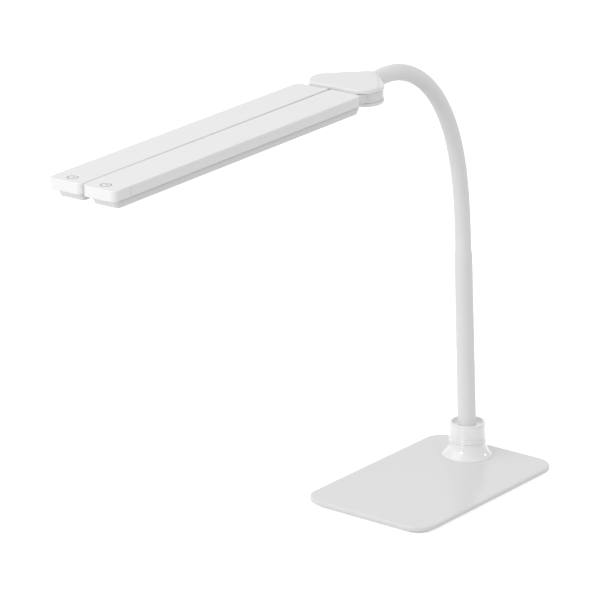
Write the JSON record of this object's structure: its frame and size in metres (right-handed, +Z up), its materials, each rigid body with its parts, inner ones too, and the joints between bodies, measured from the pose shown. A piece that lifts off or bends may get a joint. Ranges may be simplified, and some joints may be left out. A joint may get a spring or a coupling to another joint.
{
  "type": "folding LED desk lamp",
  "caption": "Desk lamp with two slim LED light bars side by side that swing open on a yoke, on a flexible arched neck above a flat weighted base.",
  "frame": {"origin": "centre of the base outline, on the underside of the rubber pad where the lamp rests on the desk", "axes": "+Z up from the desk; -Y is the way the light bars point from the yoke; +X to the right when looking along +Y"},
  "size_m": [0.1234, 0.5159, 0.3698],
  "materials": {
    "pad_rubber": "matte",
    "tray_white": "satin",
    "ballast_steel": "zinc-plated plate",
    "gloss_white": "gloss",
    "hardware_steel": "zinc-plated",
    "inlet_metal": "nickel-plated",
    "circuit_board": "green solder mask",
    "collar_white": "gloss",
    "tube_white": "satin",
    "sleeve_white": "satin",
    "neck_steel": "satin",
    "yoke_white": "satin gloss",
    "washer_nylon": "satin nylon",
    "bar_white": "satin gloss",
    "frame_white": "satin",
    "diffuser_frost": "frosted",
    "led_board_white": "white solder mask",
    "led_phosphor": "clear resin over phosphor",
    "mark_grey": "printed"
  },
  "bodies": {
    "base": {"base_pad": "pad_rubber", "base_tray": "tray_white", "ballast_plate": "ballast_steel", "base_cover": "gloss_white", "base_screws": "hardware_steel", "power_inlet": "inlet_metal", "inlet_board": "circuit_board", "collar_skirt": "collar_white", "collar_cup": "collar_white", "neck_stud": "hardware_steel", "stud_nut": "hardware_steel", "stud_washer": "hardware_steel", "lower_tube": "tube_white", "tube_ferrule": "tube_white", "neck_sleeve_0": "sleeve_white"},
    "neck_link_1": {"neck_core_1": "neck_steel", "neck_sleeve_1": "sleeve_white"},
    "neck_link_2": {"neck_core_2": "neck_steel", "neck_sleeve_2": "sleeve_white"},
    "neck_link_3": {"neck_core_3": "neck_steel", "neck_sleeve_3": "sleeve_white"},
    "neck_link_4": {"neck_core_4": "neck_steel", "neck_sleeve_4": "sleeve_white"},
    "neck_link_5": {"neck_core_5": "neck_steel", "neck_sleeve_5": "sleeve_white"},
    "neck_link_6": {"neck_core_6": "neck_steel", "neck_sleeve_6": "sleeve_white"},
    "neck_link_7": {"neck_core_7": "neck_steel", "neck_sleeve_7": "sleeve_white"},
    "head": {"neck_end_fitting": "neck_steel", "neck_sleeve_8": "sleeve_white", "yoke_body": "yoke_white", "yoke_cap": "yoke_white", "yoke_screws": "hardware_steel", "pivot_pins": "hardware_steel", "friction_washers": "washer_nylon"},
    "right_bar": {"right_bar_cover": "bar_white", "right_end_cap": "bar_white", "right_light_frame": "frame_white", "right_diffuser": "diffuser_frost", "right_led_board": "led_board_white", "right_leds": "led_phosphor", "right_touch_board": "circuit_board", "right_touch_pad": "pad_rubber", "right_touch_mark": "mark_grey", "right_bar_screws": "hardware_steel"},
    "left_bar": {"left_bar_cover": "bar_white", "left_end_cap": "bar_white", "left_light_frame": "frame_white", "left_diffuser": "diffuser_frost", "left_led_board": "led_board_white", "left_leds": "led_phosphor", "left_touch_board": "circuit_board", "left_touch_pad": "pad_rubber", "left_touch_mark": "mark_grey", "left_bar_screws": "hardware_steel"}
  },
  "joints": [
    {"name": "neck_bend_1", "type": "hinge", "parent": "base", "child": "neck_link_1", "pos_m": [-0.011, 0.05688, 0.19669], "axis": [1, 0, 0], "range_deg": [-12, 10]},
    {"name": "neck_side_1", "type": "hinge", "parent": "neck_link_1", "child": "neck_link_2", "pos_m": [-0.011, 0.05409, 0.22928], "axis": [0, 0.994, 0.1092], "range_deg": [-10, 10]},
    {"name": "neck_bend_2", "type": "hinge", "parent": "neck_link_2", "child": "neck_link_3", "pos_m": [-0.011, 0.04875, 0.26154], "axis": [1, 0, 0], "range_deg": [-12, 10]},
    {"name": "neck_side_2", "type": "hinge", "parent": "neck_link_3", "child": "neck_link_4", "pos_m": [-0.011, 0.03896, 0.29271], "axis": [0, 0.925, 0.3799], "range_deg": [-10, 10]},
    {"name": "neck_bend_3", "type": "hinge", "parent": "neck_link_4", "child": "neck_link_5", "pos_m": [-0.011, 0.02314, 0.32126], "axis": [1, 0, 0], "range_deg": [-12, 10]},
    {"name": "neck_side_3", "type": "hinge", "parent": "neck_link_5", "child": "neck_link_6", "pos_m": [-0.011, 0.00046, 0.34468], "axis": [0, 0.6087, 0.7934], "range_deg": [-10, 10]},
    {"name": "neck_bend_4", "type": "hinge", "parent": "neck_link_6", "child": "neck_link_7", "pos_m": [-0.011, -0.02846, 0.35961], "axis": [1, 0, 0], "range_deg": [-12, 10]},
    {"name": "neck_side_4", "type": "hinge", "parent": "neck_link_7", "child": "head", "pos_m": [-0.011, -0.0608, 0.36252], "axis": [0, -0.1184, 0.993], "range_deg": [-10, 10]},
    {"name": "right_bar_swing", "type": "hinge", "parent": "head", "child": "right_bar", "pos_m": [0.005, -0.10386, 0.36739], "axis": [0, -0.0297, 0.9996], "range_deg": [0, 90]},
    {"name": "left_bar_swing", "type": "hinge", "parent": "head", "child": "left_bar", "pos_m": [-0.027, -0.10386, 0.36739], "axis": [0, -0.0297, 0.9996], "range_deg": [-90, 0]}
  ],
  "couplings": [
    {"joint": "neck_bend_2", "follows": "neck_bend_1", "ratio": 1},
    {"joint": "neck_side_2", "follows": "neck_side_1", "ratio": 1},
    {"joint": "neck_bend_3", "follows": "neck_bend_1", "ratio": 1},
    {"joint": "neck_side_3", "follows": "neck_side_1", "ratio": 1},
    {"joint": "neck_bend_4", "follows": "neck_bend_1", "ratio": 1},
    {"joint": "neck_side_4", "follows": "neck_side_1", "ratio": 1}
  ]
}
